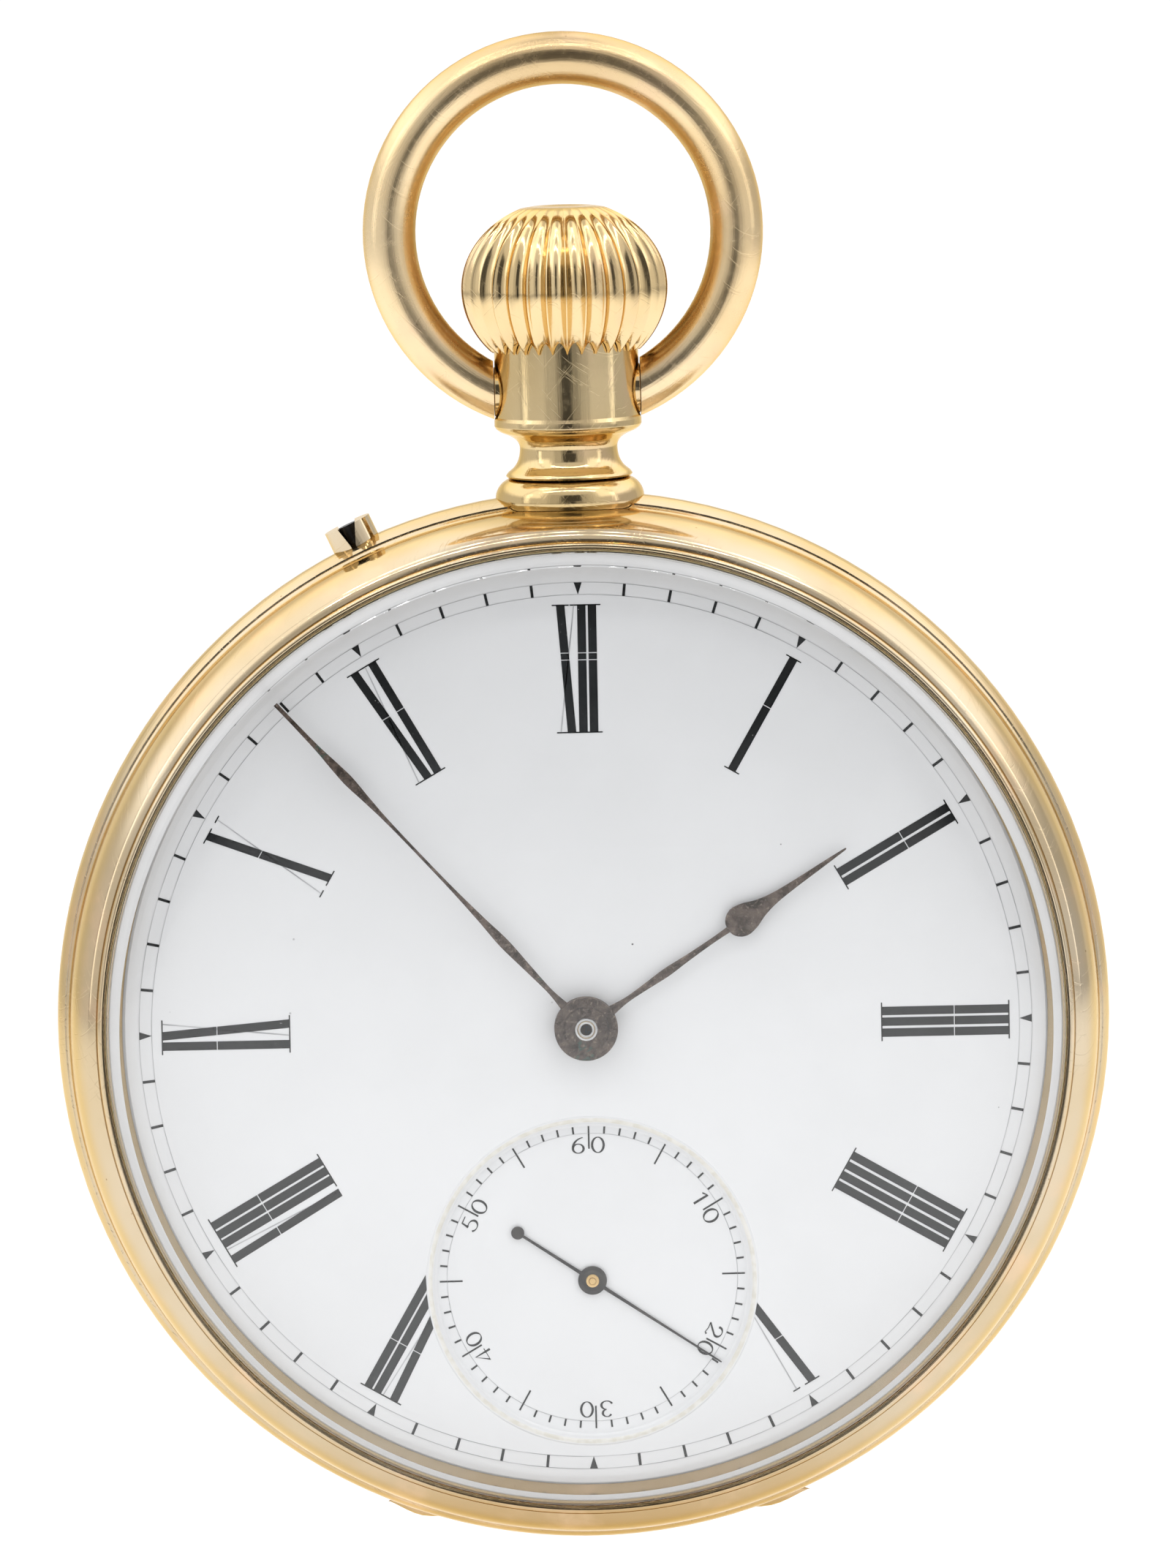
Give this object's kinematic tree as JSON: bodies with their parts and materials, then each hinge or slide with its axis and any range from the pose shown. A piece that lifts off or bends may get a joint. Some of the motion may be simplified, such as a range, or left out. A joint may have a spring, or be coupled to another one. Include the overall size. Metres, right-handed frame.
{
  "type": "open face pocket watch",
  "caption": "Round open-faced pocket watch with a ring bow, winding crown, bevelled crystal, white dial with a sunk seconds dial, hinged back and a geared movement.",
  "frame": {"origin": "centre of the flat on the back cover, on the axis of the hour and minute hands", "axes": "+Z to 12 o'clock and the bow, -Y out of the dial, +Y out of the back, +X to 3 o'clock"},
  "size_m": [0.05, 0.0125, 0.0718],
  "materials": {
    "case_gold": "polished yellow gold with fine scratches and small dark spots of tarnish",
    "crystal_glass": "clear flat crystal with a bevelled edge",
    "dial_enamel": "glossy white fired enamel",
    "aged_copper": "rose gold hands, browned with age",
    "dark_steel": "blackened steel",
    "gilt_brass": "frosted gilt brass",
    "polished_steel": "polished steel",
    "blued_steel": "heat-blued steel",
    "ruby": "polished ruby",
    "copper": "bare copper"
  },
  "bodies": {
    "case": {"case_middle": "case_gold", "pendant_base": "case_gold", "pendant": "case_gold", "hinge_pin": "polished_steel", "guard_ears": "case_gold", "setting_spring": "polished_steel", "dial": "dial_enamel", "dial_feet": "copper", "seconds_dial": "dial_enamel", "main_plate": "gilt_brass", "barrel_bridge": "gilt_brass", "train_bridge": "gilt_brass", "balance_cock": "gilt_brass", "pallet_cock": "gilt_brass", "jewels": "ruby", "bridge_screws": "blued_steel", "case_screws": "blued_steel", "crown_wheel_screw": "blued_steel", "click_spring": "polished_steel", "hairspring": "blued_steel"},
    "bezel": {"bezel": "case_gold", "crystal": "crystal_glass"},
    "back_cover": {"back_cover": "case_gold"},
    "cuvette": {"cuvette": "case_gold"},
    "bow": {"bow": "case_gold", "bow_screws": "case_gold"},
    "crown": {"crown": "case_gold", "stem": "polished_steel", "winding_pinion": "polished_steel"},
    "crown_wheel": {"crown_wheel": "polished_steel"},
    "barrel_arbor": {"barrel_arbor": "polished_steel", "ratchet_wheel": "polished_steel", "ratchet_screw": "blued_steel"},
    "click": {"click": "polished_steel"},
    "set_pin": {"set_pin": "dark_steel"},
    "setting_lever": {"setting_lever": "polished_steel"},
    "minute_hand": {"minute_hand": "aged_copper", "cannon_pinion": "polished_steel"},
    "minute_wheel": {"minute_wheel": "gilt_brass"},
    "hour_hand": {"hour_hand": "aged_copper", "hour_wheel": "gilt_brass"},
    "seconds_hand": {"seconds_hand": "dark_steel", "fourth_wheel": "gilt_brass"},
    "third_wheel": {"third_wheel": "gilt_brass"},
    "centre_wheel": {"centre_wheel": "gilt_brass"},
    "barrel": {"barrel": "gilt_brass", "barrel_lid": "gilt_brass", "mainspring": "polished_steel"},
    "escape_wheel": {"escape_wheel": "gilt_brass"},
    "pallet_fork": {"pallet_fork": "polished_steel"},
    "balance": {"balance_wheel": "gilt_brass", "balance_staff": "polished_steel"},
    "regulator": {"regulator": "polished_steel"}
  },
  "joints": [
    {"name": "bow_swing", "type": "hinge", "parent": "case", "child": "bow", "pos_m": [0, -0.00515, 0.0298], "axis": [-1, 0, 0], "range_deg": [-120, 120]},
    {"name": "bezel_lift", "type": "slide", "parent": "case", "child": "bezel", "axis": [0, -1, 0], "range_m": [0, 0.006]},
    {"name": "back_cover_open", "type": "hinge", "parent": "case", "child": "back_cover", "pos_m": [0, -0.0034, -0.0234], "axis": [-1, 0, 0], "range_deg": [0, 95]},
    {"name": "cuvette_open", "type": "hinge", "parent": "case", "child": "cuvette", "pos_m": [0, -0.0034, -0.0234], "axis": [-1, 0, 0], "range_deg": [0, 67]},
    {"name": "crown_turn", "type": "hinge", "parent": "case", "child": "crown", "pos_m": [0, -0.00515, 0.035], "axis": [0, 0, 1], "continuous": true},
    {"name": "crown_wheel_turn", "type": "hinge", "parent": "case", "child": "crown_wheel", "pos_m": [0, -0.0025, 0.014], "axis": [0, -1, 0], "continuous": true},
    {"name": "ratchet_turn", "type": "hinge", "parent": "case", "child": "barrel_arbor", "pos_m": [-0.00696, -0.0025, 0.00696], "axis": [0, -1, 0], "continuous": true},
    {"name": "click_swing", "type": "hinge", "parent": "case", "child": "click", "pos_m": [-0.01302, -0.0025, 0.00271], "axis": [0, -1, 0], "range_deg": [0, 10], "stiffness_Nm_per_rad": 0.00001},
    {"name": "set_pin_push", "type": "slide", "parent": "case", "child": "set_pin", "axis": [0.4083, 0, -0.9128], "range_m": [0, 0.0008], "stiffness_N_per_m": 2000},
    {"name": "setting_lever_swing", "type": "hinge", "parent": "case", "child": "setting_lever", "pos_m": [-0.0046, -0.0051, 0.0181], "axis": [0, -1, 0], "range_deg": [0, 12]},
    {"name": "minute_hand_turn", "type": "hinge", "parent": "case", "child": "minute_hand", "pos_m": [0, -0.0105, 0], "axis": [0, 1, 0], "continuous": true},
    {"name": "minute_wheel_turn", "type": "hinge", "parent": "case", "child": "minute_wheel", "pos_m": [0.00251, -0.0079, 0.00321], "axis": [0, 1, 0], "continuous": true},
    {"name": "hour_hand_turn", "type": "hinge", "parent": "case", "child": "hour_hand", "pos_m": [0, -0.0101, 0], "axis": [0, 1, 0], "continuous": true},
    {"name": "seconds_hand_turn", "type": "hinge", "parent": "case", "child": "seconds_hand", "pos_m": [0, -0.0095, -0.0121], "axis": [0, 1, 0], "continuous": true},
    {"name": "third_wheel_turn", "type": "hinge", "parent": "case", "child": "third_wheel", "pos_m": [0.00503, -0.0057, -0.00691], "axis": [0, 1, 0], "continuous": true},
    {"name": "centre_wheel_turn", "type": "hinge", "parent": "case", "child": "centre_wheel", "pos_m": [0, -0.0042, 0], "axis": [0, 1, 0], "continuous": true},
    {"name": "barrel_turn", "type": "hinge", "parent": "case", "child": "barrel", "pos_m": [-0.00696, -0.0055, 0.00696], "axis": [0, 1, 0], "continuous": true},
    {"name": "escape_wheel_turn", "type": "hinge", "parent": "case", "child": "escape_wheel", "pos_m": [-0.00652, -0.0043, -0.01313], "axis": [0, 1, 0], "continuous": true},
    {"name": "pallet_fork_rock", "type": "hinge", "parent": "case", "child": "pallet_fork", "pos_m": [-0.0086, -0.0043, -0.01017], "axis": [0, 1, 0], "range_deg": [-4, 4]},
    {"name": "balance_swing", "type": "hinge", "parent": "case", "child": "balance", "pos_m": [-0.01131, -0.0035, -0.00629], "axis": [0, 1, 0], "range_deg": [-270, 270], "stiffness_Nm_per_rad": 0.0000001},
    {"name": "regulator_shift", "type": "hinge", "parent": "case", "child": "regulator", "pos_m": [-0.01131, -0.0022, -0.00629], "axis": [0, 1, 0], "range_deg": [-20, 20]}
  ],
  "couplings": [
    {"joint": "cuvette_open", "follows": "back_cover_open", "ratio": 0.7},
    {"joint": "crown_wheel_turn", "follows": "crown_turn", "ratio": 0.54167},
    {"joint": "ratchet_turn", "follows": "crown_turn", "ratio": -0.41935},
    {"joint": "setting_lever_swing", "follows": "set_pin_push", "rad_per_m": 260.49},
    {"joint": "minute_wheel_turn", "follows": "minute_hand_turn", "ratio": -0.33333},
    {"joint": "hour_hand_turn", "follows": "minute_hand_turn", "ratio": 0.083333},
    {"joint": "third_wheel_turn", "follows": "seconds_hand_turn", "ratio": -0.13333},
    {"joint": "centre_wheel_turn", "follows": "seconds_hand_turn", "ratio": 0.016667},
    {"joint": "barrel_turn", "follows": "seconds_hand_turn", "ratio": -0.002381},
    {"joint": "escape_wheel_turn", "follows": "seconds_hand_turn", "ratio": -10}
  ]
}
